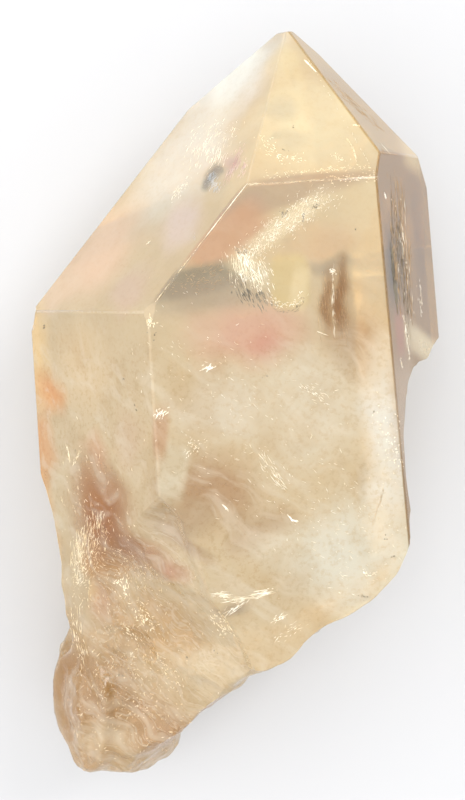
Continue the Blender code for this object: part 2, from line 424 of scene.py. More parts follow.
# Clouds of colour with soft, wavy rims: centre and reach in the crystal's millimetres, colour, strength.
clouds = {
    "pale tip": ((-7, -6, -3), (11, 10, 10), (0.94, 1.0, 1.0), 1.0),
    "cream middle": ((-15, -16.5, 1), (11.5, 11, 12), (0.96, 0.96, 0.86), 1.0),
    "peach shoulder": ((-26.6, -27.6, -2), (11, 9.5, 9.5), (0.98, 0.72, 0.50), 1.0),
    "peach corner": ((-31.6, -31.9, -4.5), (4, 4, 5), (1.0, 0.77, 0.54), 0.8),
    "lilac shade": ((-16.5, -25, 9.5), (4.5, 6, 6), (0.84, 0.72, 0.65), 0.9),
    "tan foot": ((-23.4, -32, 9.9), (5, 3.5, 5), (0.78, 0.61, 0.47), 0.8),
    "dark smudge": ((-12.3, -19.5, 9.3), (1.4, 2.1, 2.0), (0.20, 0.21, 0.20), 0.85),
    "rusty shade": ((-10.3, -18.4, 10.6), (1.5, 3.0, 2.4), (0.66, 0.50, 0.46), 0.75),
    "golden tip": ((1, -13, 11), (11, 10, 9), (0.92, 0.84, 0.56), 1.0),
    "deep golden tip": ((-1, -5.5, 4), (3.5, 5, 5), (0.84, 0.72, 0.42), 0.8),
    "grey smudge": ((-3.2, -11.5, 9.2), (3.2, 2.4, 3.2), (0.70, 0.66, 0.47), 0.8),
    "grey smudge low": ((-3.6, -15.6, 12.4), (3.2, 1.6, 2.4), (0.74, 0.68, 0.47), 0.7),
    "amber patch": ((-1.0, -28.0, 16), (5.5, 3.4, 5), (0.74, 0.55, 0.34), 0.8),
    "grey patch": ((0.0, -30.7, 16.2), (4.2, 1.4, 3), (0.46, 0.39, 0.27), 0.85),
    "brown mist": ((1.0, -36.0, 16.2), (3.2, 7.0, 3), (0.52, 0.34, 0.16), 0.75),
    "brown streak": ((-0.7, -34.4, 16.2), (1.0, 4.6, 3), (0.30, 0.13, 0.02), 0.75),
    "brown streak right": ((1.3, -35.2, 16.2), (1.3, 6.0, 3), (0.27, 0.11, 0.01), 0.85),
    "pink cloud": ((-10.2, -38.2, 16), (8.5, 5.0, 6), (0.80, 0.50, 0.37), 0.95),
    "red heart": ((-8.6, -39.2, 16), (3.2, 2.4, 4), (0.74, 0.38, 0.27), 0.8),
    "cream body": ((-4, -47, 16), (9, 9, 6), (0.88, 0.82, 0.64), 0.9),
    "tan right": ((2.4, -40.0, 16), (4.5, 4.5, 5), (0.54, 0.39, 0.23), 0.9),
    "brown cloud": ((-15.8, -56.2, 16), (7.0, 5.5, 6), (0.52, 0.34, 0.18), 0.95),
    "olive cloud": ((-20.4, -60.4, 15), (5, 3.8, 5), (0.56, 0.43, 0.27), 0.9),
    "olive cloud right": ((-10, -62.0, 16), (5, 4.5, 5), (0.63, 0.50, 0.34), 0.8),
    "pale left": ((-14.5, -46.5, 16), (6, 5, 5), (0.86, 0.80, 0.64), 0.85),
    "pale low": ((-6.5, -64.5, 16), (6, 4, 5), (0.88, 0.82, 0.62), 0.8),
    "amber flank": ((-29.5, -67.5, 3.5), (4.5, 4.5, 6), (0.60, 0.32, 0.10), 0.85),
    "cool side": ((6.0, -52, 16), (4.6, 13, 6), (0.87, 0.93, 0.89), 1.0),
    "pale foot": ((0.5, -66.0, 16), (10, 8, 6), (0.92, 0.93, 0.80), 0.95),
    # painted shade: the right-hand side and its tip face are darkened here, partly their own brown tone
    "painted shade on the side": ((14, -28, 3), (9, 20, 16), (0.31, 0.19, 0.09), 1.0),
    "tan right tip": ((10, -12, 2), (7, 12, 11), (0.46, 0.28, 0.09), 1.0),
    # painted light: a golden glow along the left outline, where light bends at a glancing angle
    "painted golden rim glow": ((-35, -40, -7), (3.4, 9, 6), (0.98, 0.74, 0.38), 1.0),
    "orange rim": ((-34.2, -45.4, -4), (3.6, 4.0, 5), (0.95, 0.50, 0.20), 1.0),
    "orange rim low": ((-36, -52, -7), (4, 5.0, 6), (0.82, 0.45, 0.20), 0.9),
    "pink flank": ((-28.9, -52, 4.6), (3, 3, 4), (0.76, 0.46, 0.27), 0.7),
    "grey flank": ((-25.2, -50, 11), (3, 4, 4), (0.74, 0.57, 0.38), 0.7),
    "pale flank": ((-29.5, -41.5, 3), (7, 7, 9), (0.88, 0.71, 0.44), 0.8),
    "brown flank": ((-28.6, -60.0, 4.6), (9.0, 8.5, 9), (0.40, 0.14, 0.01), 1.0),
    "brown slope": ((-25.0, -64.6, 9), (5.4, 4.2, 6), (0.38, 0.15, 0.03), 0.9),
    # painted light: the same golden glow further down the outline
    "painted gold glow along the outline": ((-36.4, -62, -8), (2.6, 12, 6), (0.86, 0.48, 0.18), 0.9),
    "orange spot": ((-21.7, -66.6, 13.8), (3.0, 2.2, 4), (0.54, 0.24, 0.12), 0.9),
    "pink block": ((-29.6, -73, 2.4), (2.4, 3.6, 4), (0.74, 0.46, 0.28), 0.8),
    "grey hollow": ((-14.6, -71.2, 16), (3.0, 1.3, 3), (0.50, 0.42, 0.30), 0.9),
    "tan root": ((-30, -87, -5), (15, 16, 16), (0.40, 0.19, 0.03), 0.95),
    "honey root": ((-24, -75, 7), (10, 7, 8), (0.60, 0.36, 0.12), 0.8),
    "pale root": ((-30, -92, -4), (5, 4, 10), (0.76, 0.60, 0.38), 0.8),
    "brown base": ((-20, -90, 0), (10, 6, 10), (0.46, 0.25, 0.10), 0.8),
}

# Clearer marks with a firm rim, turned by so many degrees: centre, reach, turn, rim, colour, strength.
marks = {
    "golden ledge": ((14.6, -42.2, 2.0), (5.5, 1.5, 9.0), 30, 0.55, (0.96, 0.86, 0.56), 0.95),
    "golden side corner": ((15.8, -17.6, -0.8), (2.2, 1.8, 6.0), 20, 0.8, (0.90, 0.72, 0.34), 0.9),
    "dark side": ((8.7, -31.4, 12.9), (1.5, 4.6, 3.0), 2, 0.85, (0.02, 0.01, 0.003), 0.92),
    "dark side streak": ((11.0, -29.5, 9.0), (0.5, 6.0, 1.2), 2, 0.8, (0.08, 0.04, 0.01), 0.75),
    "dark streak low on the side": ((16.0, -29.5, 0.4), (1.6, 6.5, 2.8), 2, 0.8, (0.16, 0.08, 0.02), 0.7),
    "pink side": ((9.2, -39.8, 12.7), (1.0, 2.8, 3.0), 0, 0.6, (0.46, 0.17, 0.10), 0.85),
    "lilac side": ((9.4, -49.0, 12.8), (2.4, 5.6, 5.0), 0, 0.6, (0.62, 0.52, 0.40), 0.9),
    # painted shade: the darker bands below the tip's edge paint the shade seen through the crystal, where the
    # back tip face leaves a gap over the floor; one is laid on the back face itself
    "shade under tip": ((-5.5, -21.6, 16.2), (12.0, 1.9, 0.7), -13, 0.30, (0.55, 0.43, 0.29), 0.95),
    "shade left": ((-10.2, -23.6, 16.2), (3.0, 1.4, 0.7), -25, 0.40, (0.50, 0.39, 0.29), 0.8),
    "orange band": ((-12.0, -26.8, 16.2), (5.4, 2.4, 0.7), -38, 0.35, (0.68, 0.42, 0.26), 0.95),
    "painted dark band": ((-15.6, -31.2, 16.2), (5.6, 1.7, 0.7), -8, 0.35, (0.38, 0.33, 0.22), 0.95),
    "painted shade below dark band": ((-14.6, -33.0, 16.2), (5.0, 1.8, 0.7), -4, 0.75, (0.52, 0.42, 0.30), 0.7),
    "painted shade on back face": ((-12.5, -33.4, -24.0), (9.0, 2.8, 2.0), 0, 0.30, (0.40, 0.36, 0.26), 0.9),
    "plume glow": ((-5.0, -25.4, 16.2), (5.6, 1.0, 0.7), -32, 0.65, (0.98, 0.88, 0.62), 0.75),
    "plume fall": ((-9.4, -30.4, 16.2), (2.6, 1.3, 0.7), 35, 0.55, (0.97, 0.87, 0.60), 0.75),
    "golden tongue": ((-4.9, -32.2, 16.2), (2.3, 3.2, 0.7), 0, 0.22, (0.80, 0.66, 0.34), 0.95),
    "golden tongue right": ((-3.8, -33.0, 16.2), (1.0, 2.4, 0.7), 12, 0.5, (0.96, 0.82, 0.50), 0.85),
    "milky window": ((-20.4, -53.6, 16.2), (1.6, 3.4, 0.7), 14, 0.35, (0.82, 0.77, 0.58), 0.9),
    "warm corner": ((-21.6, -48.8, 16.2), (0.9, 2.8, 0.7), 8, 0.5, (0.70, 0.46, 0.28), 0.85),
    "dome edge": ((-20.2, -62.2, 15.4), (4.0, 0.7, 2.5), 36, 0.6, (0.52, 0.38, 0.24), 0.8),
}


# Painted shade on the two right-hand faces, partly their own brown tone, laid over the clouds: colour and
# strength.
paintedFaceShade = {
    "rightTip": ((0.52, 0.34, 0.06), 0.92),
    "right": ((0.33, 0.18, 0.03), 0.9),
}


def nearFace(tree, place, name):
    # 1 on a flat face's plane, falling to 0 just under it
    along = vectorNode(tree, "DOT_PRODUCT", place, tuple(faceNormal(name)))
    return rampNode(tree, mathNode(tree, "SUBTRACT", along, flatFaces[name][2]), *patterns["tint"])


def feathers(tree, place):
    # noise drawn out along a slant: the place is turned about z, then one axis is shortened
    turned = turnedAboutZ(tree, place, math.radians(quartz["featherTurn"]))
    drawn = vectorNode(tree, "MULTIPLY", turned, (quartz["featherStretch"], 1.0, 0.7))
    return noiseNode(tree, drawn, quartz["featherScale"], detail=4.0, roughness=0.6).outputs["Fac"]


def quartzMaterial():
    stone = bpy.data.materials.new("quartz")
    stone.use_nodes = True
    tree = stone.node_tree
    shader = tree.nodes["Principled BSDF"]
    shader.inputs["IOR"].default_value = quartz["ior"]
    shader.inputs["Transmission Weight"].default_value = quartz["transmission"]
    shader.inputs["Coat Weight"].default_value = quartz["coat"]
    shader.inputs["Coat Roughness"].default_value = quartz["coatRoughness"]
    shader.inputs["Coat IOR"].default_value = quartz["ior"]
    absorb = tree.nodes.new("ShaderNodeVolumeAbsorption")
    absorb.inputs["Color"].default_value = (*quartz["absorbColor"], 1)
    absorb.inputs["Density"].default_value = quartz["absorbDensity"]
    tree.links.new(absorb.outputs["Volume"], tree.nodes["Material Output"].inputs["Volume"])

    coordinates = tree.nodes.new("ShaderNodeTexCoord")
    where = addGroup(tree, crystalFrame, Place=coordinates.outputs["Object"], Bend=quartz["bend"])
    bent, straight = where.outputs["Bent"], where.outputs["Millimetres"]
    faces = addGroup(tree, flatFacesMask, Millimetres=straight, Width=quartz["edgeWidth"])
    edge, broken = faces.outputs["Edge"], faces.outputs["Broken"]

    color = quartz["color"]
    for centre, reach, tint, strength in clouds.values():
        patch = addGroup(tree, softPatch, Place=bent, Centre=centre, Reach=reach, Strength=strength)
        color = mixColors(tree, patch.outputs["Mask"], color, tint)
    # painted shade on the right-hand faces, which also keeps the pale veils off them
    paintedShadeMask = 0.0
    for name, (tint, strength) in paintedFaceShade.items():
        near = mathNode(tree, "MULTIPLY", nearFace(tree, straight, name), strength)
        paintedShadeMask = mathNode(tree, "MAXIMUM", near, paintedShadeMask)
        color = mixColors(tree, near, color, tint)
    for centre, reach, turn, rim, tint, strength in marks.values():
        band = addGroup(tree, softBand, Place=straight, Centre=centre, Reach=reach,
                        Turn=math.radians(turn), Rim=rim, Strength=strength)
        color = mixColors(tree, band.outputs["Mask"], color, tint)
    split = tree.nodes.new("ShaderNodeSeparateXYZ")
    tree.links.new(bent, split.inputs[0])
    milk = rampNode(tree, split.outputs["Y"], quartz["milkFrom"], quartz["milkTo"])
    swirl = noiseNode(tree, bent, quartz["swirlScale"], detail=2.0, roughness=0.6).outputs["Fac"]
    mottle = noiseNode(tree, straight, quartz["mottleScale"], detail=3.0, roughness=0.75).outputs["Fac"]
    feather = feathers(tree, bent)

    def times(first, second):
        return mathNode(tree, "MULTIPLY", first, second)

    def veil(noise, look):
        # where a noise lies in its range, as strongly as the clear or the milky part asks
        low, high, inClear, inMilk = quartz[look]
        return times(rampNode(tree, noise, low, high), rampNode(tree, milk, 0, 1, inClear, inMilk))

    # swirls of denser and thinner milk, fine mottling and feathery streaks over the colours
    color = mixColors(tree, veil(swirl, "swirlShade"), color, quartz["shadeColor"], "MULTIPLY")
    color = mixColors(tree, veil(mottle, "mottleShade"), color, quartz["shadeColor"], "MULTIPLY")
    pale = times(veil(feather, "featherVeil"), mathNode(tree, "SUBTRACT", 1.0, paintedShadeMask))
    color = mixColors(tree, pale, color, quartz["veilColor"])
    # thin pale veins where the skin is broken, and pale chips along the worn edges that also paint a
    # highlight on them
    middle, width, strength = quartz["vein"]
    vein = mathNode(tree, "ABSOLUTE", mathNode(tree, "SUBTRACT", feather, middle))
    vein = times(rampNode(tree, vein, width, 0.0), times(broken, strength))
    color = mixColors(tree, vein, color, quartz["veilColor"])
    color = mixColors(tree, times(edge, veil(mottle, "edgeChipsAndHighlight")), color, quartz["edgeChipAndHighlightColor"])
    tree.links.new(color, shader.inputs["Base Color"])

    clear, milky = quartz["clearRoughness"], quartz["milkyRoughness"]
    patchy = times(milk, rampNode(tree, swirl, *quartz["patchiness"]))
    roughness = mathNode(tree, "MULTIPLY_ADD", patchy, milky - clear, clear)
    centre, reach = quartz["haze"]
    haze = addGroup(tree, softPatch, Place=bent, Centre=centre, Reach=reach, Strength=quartz["hazyRoughness"])
    roughness = mathNode(tree, "MAXIMUM", roughness, haze.outputs["Mask"])
    roughness = mathNode(tree, "MAXIMUM", roughness, times(broken, quartz["brokenRoughness"]))
    tree.links.new(roughness, shader.inputs["Roughness"])
    return stone


def hashed(cells, seed):
    # a repeatable number from 0 to 1 for each whole-numbered corner: the tail of a large sine
    return np.mod(np.sin(cells @ np.array([12.9898, 78.233, 37.719]) + seed * 4.1414) * 43758.5453, 1.0)


def latticeNoise(points, size, seed):
    # numbers hashed at the corners of a lattice, blended smoothly between them, from -1 to 1
    scaled = points / size
    low = np.floor(scaled)
    share = scaled - low
    share = share * share * (3 - 2 * share)
    total = np.zeros(len(points))
    for corner in np.ndindex(2, 2, 2):
        weight = np.prod(np.where(corner, share, 1 - share), axis=1)
        total += weight * hashed(low + corner, seed)
    return total * 2 - 1


def shellHollows(points, size, seed):
    # the squared distance, in cells, to the nearest of one hashed point in each lattice cell:
    # round bowls that meet in ridges
    scaled = points / size
    low = np.floor(scaled)
    nearest = np.full(len(points), 9.0)
    for offset in np.ndindex(3, 3, 3):
        cell = low + np.array(offset) - 1
        centre = cell + np.stack([hashed(cell, seed + turn) for turn in range(3)], axis=1)
        nearest = np.minimum(nearest, ((centre - scaled) ** 2).sum(axis=1))
    return np.minimum(nearest, 1.0)


def planeDepth(points):
    # how far each point lies from the nearest flat face's plane, in mm
    normals = np.array([faceNormal(name) for name in flatFaces])
    distances = np.array([flatFaces[name][2] for name in flatFaces])
    return np.abs((distances - points @ normals.T).min(axis=1))


# The broken skin is divided finely and carved with shell-like hollows, ripples and grain.
skin = {
    "brokenFrom": 0.03,           # mm off the flat faces, from where the skin counts as broken
    "fadeTo": 1.3,                # mm off the flat faces, where the carving reaches its full depth
    "divisions": 2,
    "softening": 5,
    "looseFrom": 0.25,            # mm off the flat faces, from where it is divided and softened
    "longestEdge": 0.5,           # mm, over which an edge is divided
    "hollow": (6.4, 0.85, 3),     # size and depth in mm, seed
    "smallHollow": (2.3, 0.32, 11),
    "ripple": (1.05, 0.05),       # size and depth in mm
    "grain": (0.8, 0.07, 17),
    "rippleZones": (7.0, 0.3, 5),   # size in mm, how far their share is raised, seed
    "smallHollowZones": (9.0, 0.6, 8),
    "sharpAngle": 33,             # degrees
}


def zones(points, name):
    # the share, from 0 to 1, in which something shows: wide smooth noise, raised
    size, raised, seed = skin[name]
    return np.clip(latticeNoise(points, size, seed) + raised, 0, 1)


def carve(points):
    # how deep the skin is carved at each point: two sizes of hollow whose bowls are rippled like
    # a shell by a sine of the distance from their middle, and a fine grain
    size, depth, seed = skin["hollow"]
    bowl = shellHollows(points, size, seed)
    carved = depth * (1 - bowl)
    rippleLength, rippleDepth = skin["ripple"]
    rings = np.sin(np.sqrt(bowl) * size * 2 * math.pi / rippleLength)
    carved += rippleDepth * (1 + rings) * zones(points, "rippleZones")
    size, depth, seed = skin["smallHollow"]
    carved += depth * (1 - shellHollows(points, size, seed)) * zones(points, "smallHollowZones")
    size, depth, seed = skin["grain"]
    carved += depth * (1 + latticeNoise(points, size, seed))
    return carved


def vertexArray(bm):
    return np.array([vert.co for vert in bm.verts])


def refineSkin(mesh):
    bm = bmesh.new()
    bm.from_mesh(mesh)
    bmesh.ops.remove_doubles(bm, verts=bm.verts[:], dist=1e-6)
    for _ in range(skin["divisions"]):
        depths = planeDepth(crystalPoints(vertexArray(bm)))
        bm.verts.index_update()
        rough = [edge for edge in bm.edges
                 if max(depths[vert.index] for vert in edge.verts) > skin["looseFrom"]
                 and edge.calc_length() > skin["longestEdge"] * mm]
        bmesh.ops.subdivide_edges(bm, edges=rough, cuts=1, use_grid_fill=True)
        bmesh.ops.triangulate(bm, faces=bm.faces[:])
    depths = planeDepth(crystalPoints(vertexArray(bm)))
    loose = [vert for vert, depth in zip(bm.verts, depths) if depth > skin["looseFrom"]]
    for _ in range(skin["softening"]):
        bmesh.ops.smooth_vert(bm, verts=loose, factor=0.5, use_axis_x=True, use_axis_y=True,
                              use_axis_z=True)
    bm.normal_update()
    bm.to_mesh(mesh)
    bm.free()

    count = len(mesh.vertices)
    flat = np.empty(count * 3)
    mesh.vertices.foreach_get("co", flat)
    points = crystalPoints(flat.reshape(-1, 3))
    normals = np.empty(count * 3)
    mesh.vertices.foreach_get("normal", normals)
    share = np.clip((planeDepth(points) - skin["brokenFrom"]) / (skin["fadeTo"] - skin["brokenFrom"]), 0, 1)
    share = share * share * (3 - 2 * share)
    points -= normals.reshape(-1, 3) * (carve(points) * share)[:, None]
    mesh.vertices.foreach_set("co", place(points).ravel())
    mesh.update()

    # the flat faces stay flat shaded, the broken skin is smooth apart from its ridges
    mesh.shade_smooth()
    mesh.set_sharp_from_angle(angle=math.radians(skin["sharpAngle"]))
    corners = np.empty(len(mesh.polygons) * 3, int)
    mesh.polygons.foreach_get("vertices", corners)
    off = planeDepth(points)[corners.reshape(-1, 3)].max(axis=1)
    mesh.polygons.foreach_set("use_smooth", off > skin["brokenFrom"])
    mesh.update()


def addPiece(name, mesh, material):
    mesh.materials.clear()
    mesh.materials.append(material)
    piece = bpy.data.objects.new(name, mesh)
    crystalCollection.objects.link(piece)
    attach(piece, "root")
    return piece


def addCrystal():
    mesh = frame["nodes"]["quartz_point"].data.copy()
    mesh.name = "crystalBody"
    refineSkin(mesh)
    body = addPiece("crystalBody", mesh, quartzMaterial())
    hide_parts("quartz_point")
    print("crystal body:", len(mesh.polygons), "faces")
    return body


crystal = addCrystal()

# The noise that carries a mark from its first colour to its second.
markNoise = {"bend": 0.5, "scale": 0.7, "range": (0.35, 0.65)}


def plainMaterial(name, color, mottled, roughness):
    # the faces of cracks, specks and painted glints: one colour that noise carries towards another
    made = bpy.data.materials.new(name)
    made.use_nodes = True
    tree = made.node_tree
    shader = tree.nodes["Principled BSDF"]
    shader.inputs["Roughness"].default_value = roughness
    coordinates = tree.nodes.new("ShaderNodeTexCoord")
    where = addGroup(tree, crystalFrame, Place=coordinates.outputs["Object"], Bend=markNoise["bend"])
    patchy = noiseNode(tree, where.outputs["Bent"], markNoise["scale"], detail=3.0).outputs["Fac"]
    mixed = mixColors(tree, rampNode(tree, patchy, *markNoise["range"]), color, mottled)
    tree.links.new(mixed, shader.inputs["Base Color"])
    return made


# the bright and golden slivers are partly real cracks and partly painted glints and edge highlights
brightCrackAndGlint = plainMaterial("bright crack and glint", (0.72, 0.63, 0.46), (0.96, 0.92, 0.80), 0.4)
goldenCrackAndGlint = plainMaterial("golden crack and glint", (0.80, 0.66, 0.42), (1.0, 0.90, 0.68), 0.4)
darkSpeck = plainMaterial("dark speck", (0.10, 0.085, 0.06), (0.20, 0.17, 0.12), 0.6)
brownLine = plainMaterial("brown line", (0.30, 0.19, 0.09), (0.46, 0.33, 0.19), 0.6)
greySmudge = plainMaterial("grey smudge", (0.30, 0.31, 0.31), (0.46, 0.45, 0.44), 0.6)
rustyStreak = plainMaterial("rusty streak", (0.44, 0.27, 0.24), (0.62, 0.48, 0.44), 0.6)


# The finished skin, searched for the places of the marks that lie on it.
skinCopy = bmesh.new()
skinCopy.from_mesh(crystal.data)
skinTree = BVHTree.FromBMesh(skinCopy)
skinCopy.free()

# How every sliver is dropped and laid.
sliverLook = {
    "dropFrom": 0.5,              # mm over a face's plane, from where slivers are dropped on the skin
    "dropBy": 5,                  # mm, how far they may drop
    "gap": 0.25,                  # mm off the skin, past which a sliver is left out
    "tilt": 0.1,
    "thickness": 0.03,            # mm, half of it
}


def ontoFace(centres, name):
    # the centres dropped along a flat face's normal onto the skin, with the skin's normals there,
    # and which of them met it
    normal = faceNormal(name)
    over = centres @ normal - flatFaces[name][2] - sliverLook["dropFrom"]
    above = centres - over[:, None] * normal
    reach = sliverLook["dropBy"] * mm
    hits = [skinTree.ray_cast(Vector(point), Vector(-normal), reach) for point in place(above)]
    met = np.array([hit[0] is not None for hit in hits])
    landed = np.array([hit[0] or point for hit, point in zip(hits, place(above))])
    facing = np.array([hit[1] or normal for hit in hits])
    return crystalPoints(landed), facing, met


def ontoSkin(centres):
    # the nearest place of the skin to each centre, its normal there and how far away it is
    found = [skinTree.find_nearest(Vector(point)) for point in place(centres)]
    landed = crystalPoints(np.array([hit[0] for hit in found]))
    return landed, np.array([hit[1] for hit in found]), np.array([hit[3] for hit in found]) / mm


def alongRoute(route, shares):
    # places and headings at shares of a route's length, straight between its points, each heading
    # taken from just before to just after its place
    nudge = 0.02
    route = np.array(route, float)
    lengths = np.linalg.norm(np.diff(route, axis=0), axis=1)
    reached = np.concatenate([[0], np.cumsum(lengths)]) / lengths.sum()

    def at(share):
        return np.stack([np.interp(share, reached, route[:, axis]) for axis in range(3)], axis=1)

    heading = at(np.minimum(shares + nudge, 1)) - at(np.maximum(shares - nudge, 0))
    return at(shares), heading / np.linalg.norm(heading, axis=1, keepdims=True)


def slivers(name, centres, along, across, thickness):
    # each sliver is a flattened octahedron: its centre plus and minus its length, width and thickness
    thin = np.cross(along, across)
    thin *= thickness / np.linalg.norm(thin, axis=1, keepdims=True)
    corners = centres[:, None, :] + np.stack([along, across, thin, -along, -across, -thin], axis=1)
    upper, lower = [(0, 1, 2), (1, 3, 2), (3, 4, 2), (4, 0, 2)], [(1, 0, 5), (3, 1, 5), (4, 3, 5), (0, 4, 5)]
    sides = np.array(upper + lower)
    faces = (np.arange(len(centres))[:, None, None] * 6 + sides).reshape(-1, 3)
    mesh = bpy.data.meshes.new(name)
    mesh.from_pydata(place(corners.reshape(-1, 3)), [], faces)
    return mesh


def threeColumns(rows):
    # rows of numbers as an array, where a third number that is left out is 0
    rows = np.atleast_2d(np.array(rows, float))
    return np.pad(rows, ((0, 0), (0, 3 - rows.shape[1])))


def scatter(look, random):
    # slivers strewn along routes, whose points are given by x and y alone where they lie on a flat
    # face: centres spread about the route and dropped on that face or on the skin, each pointing
    # along the route or a given grain, strayed a little and laid flat, its length and width drawn
    # between two limits. One that would stand off the skin is left out.
    parts = []
    for trail in look["trails"]:
        count, onto = trail["count"], trail.get("onto", look["onto"])
        spread = trail["spread"] if np.isscalar(trail["spread"]) else threeColumns(trail["spread"])
        route = [onFace(onto, *point) if len(point) == 2 else point for point in trail["route"]]
        shares = random.uniform(0, 1, count)
        centres, heading = alongRoute(route, shares)
        centres += random.normal(0, 1, (count, 3)) * spread
        facing = np.broadcast_to((0.0, 0.0, 1.0), centres.shape)
        met = np.full(count, True)
        if onto == "skin":
            centres, facing, _ = ontoSkin(centres)
        elif onto is not None:
            centres, facing, met = ontoFace(centres, onto)
        if "grain" in trail:
            grain = threeColumns(trail["grain"])
            heading = grain[0] + (grain[-1] - grain[0]) * shares[:, None]
        heading = heading + random.normal(0, trail["stray"], (count, 3))
        heading -= facing * (heading * facing).sum(axis=1, keepdims=True)
        heading /= np.linalg.norm(heading, axis=1, keepdims=True)
        across = np.cross(facing + random.normal(0, sliverLook["tilt"], (count, 3)), heading)
        across /= np.linalg.norm(across, axis=1, keepdims=True)
        low, high = trail["length"]
        lengths = low + (high - low) * random.uniform(0, 1, (count, 1)) ** 2
        widths = random.uniform(*trail["width"], (count, 1))
        along = heading * lengths / 2
        for end in (-1, 0, 1):
            met = met & (ontoSkin(centres + along * end)[2] < sliverLook["gap"])
        parts.append((centres[met], along[met], across[met] * widths[met] / 2))
    return [np.concatenate(column) for column in zip(*parts)]


def addSlivers(name, look, material):
    centres, along, across = scatter(look, np.random.default_rng(look["seed"]))
    addPiece(name, slivers(name, centres, along, across, sliverLook["thickness"]), material)
    print(name + ":", len(centres), "slivers")


# The feather-like crack in the front face, from the tip's foot down to the left.
plume = {"seed": 21, "onto": "front", "trails": [
    dict(route=[(0.0, -22.5), (-3.2, -24.1), (-6.9, -26.5), (-9.4, -28.2)], spread=(1.0, 0.8), count=620,
         grain=[(-0.7, -0.7), (-0.45, -0.9)], stray=0.5, length=(0.1, 0.6), width=(0.02, 0.06)),
    dict(route=[(-1.7, -23.2), (-5.0, -25.4), (-7.6, -27.4), (-9.8, -29.0)], spread=(0.7, 0.5), count=240,
         grain=[(-0.8, -0.6), (-0.5, -0.85)], stray=0.45, length=(0.12, 0.7), width=(0.02, 0.08)),
    dict(route=[(-11.4, -29.2), (-9.8, -30.6), (-8.0, -31.6)], spread=(0.9, 1.0), count=300,
         grain=[(0.12, -0.98), (0.34, -0.93)], stray=0.18, length=(0.2, 1.8), width=(0.02, 0.09)),
    dict(route=[(-7.6, -33.7), (-6.3, -35.0), (-4.5, -35.0), (-3.4, -33.6)], spread=(0.26, 0.22), count=80,
         stray=0.6, length=(0.1, 0.5), width=(0.03, 0.08)),
    dict(route=[(0.4, -31.2), (0.2, -34.5), (0.0, -38.3)], spread=(0.09, 0.5), count=36, stray=0.06,
         length=(0.4, 1.8), width=(0.02, 0.06)),
    dict(route=[(0.1, -31.4), (0.5, -31.4)], spread=(0.15, 0.15), count=14, stray=0.3, length=(0.2, 0.6),
         width=(0.06, 0.14)),
]}
plumeShade = {"seed": 22, "onto": "front", "trails": [
    dict(route=[(-5.4, -24.2), (-4.6, -24.3)], spread=(0.25, 0.2), count=16, grain=(-0.3, -0.95), stray=0.5,
         length=(0.2, 0.7), width=(0.05, 0.14)),
    dict(route=[(-2.9, -24.3), (-2.8, -25.2)], spread=(0.1, 0.1), count=10, grain=(-0.1, -0.95), stray=0.3,
         length=(0.2, 0.7), width=(0.05, 0.13)),
    dict(route=[(-1.6, -23.8), (-0.9, -23.3)], spread=(0.12, 0.1), count=14, grain=(-0.4, -0.9), stray=0.3,
         length=(0.2, 0.6), width=(0.05, 0.13)),
    dict(route=[(-10.9, -32.6), (-9.3, -33.6), (-7.9, -34.4)], spread=(0.45, 0.55), count=70,
         grain=(0.34, -0.93), stray=0.14, length=(0.4, 1.5), width=(0.05, 0.15)),
    dict(route=[(-7.4, -34.5), (-6.2, -35.7), (-4.5, -35.7), (-3.1, -34.2)], spread=(0.2, 0.15), count=36,
         stray=0.4, length=(0.2, 0.7), width=(0.03, 0.08)),
    dict(route=[(-11.2, -28.0), (-9.9, -28.3)], spread=(0.3, 0.25), count=20, stray=0.5, length=(0.2, 0.6),
         width=(0.05, 0.12)),
]}
# Brown threads under the front face, beside the plume.
brownThreads = {"seed": 23, "onto": "front", "trails": [
    dict(route=[(-1.0, -32.6), (-0.8, -37.6)], spread=(0.5, 0.9), count=70, grain=(0.02, -1), stray=0.05,
         length=(0.4, 2.0), width=(0.015, 0.045)),
    dict(route=[(1.0, -32.6), (1.5, -38.4)], spread=(0.5, 1.0), count=80, grain=(0.1, -1), stray=0.06,
         length=(0.4, 2.0), width=(0.015, 0.045)),
    dict(route=[(-17.5, -31.5), (-12.5, -31.0)], spread=(1.6, 0.7), count=110, stray=0.5, length=(0.2, 0.8),
         width=(0.03, 0.08)),
]}
addSlivers("plume", plume, brightCrackAndGlint)
addSlivers("plumeShade", plumeShade, darkSpeck)
addSlivers("brownThreads", brownThreads, brownLine)


# White wisps and a grey smudge in the left tip face, golden flecks in the front one.
tipWisps = {"seed": 31, "onto": "leftTip", "trails": [
    dict(route=[(-13.4, -15.4), (-10.6, -16.6)], spread=(1.3, 1.1, 1.6), count=110, grain=(-0.35, -0.8, 0.5),
         stray=0.12, length=(0.2, 1.6), width=(0.015, 0.035)),
    dict(route=[(-12.6, -12.9), (-8.4, -13.6)], spread=(1.0, 0.8, 1.1), count=80, grain=(-0.6, -0.6, 0.5),
         stray=0.4, length=(0.15, 0.9), width=(0.015, 0.04)),
    dict(route=[(-14.9, -19.4), (-16.5, -21.0)], spread=(0.5, 0.5, 0.7), count=50, grain=(-0.4, -0.8, 0.4),
         stray=0.3, length=(0.15, 1.0), width=(0.015, 0.04)),
    dict(route=[(-20.2, -26.3), (-20.6, -26.6)], spread=(0.1, 0.1, 0.1), count=5, stray=0.3,
         length=(0.3, 0.7), width=(0.05, 0.09)),
]}
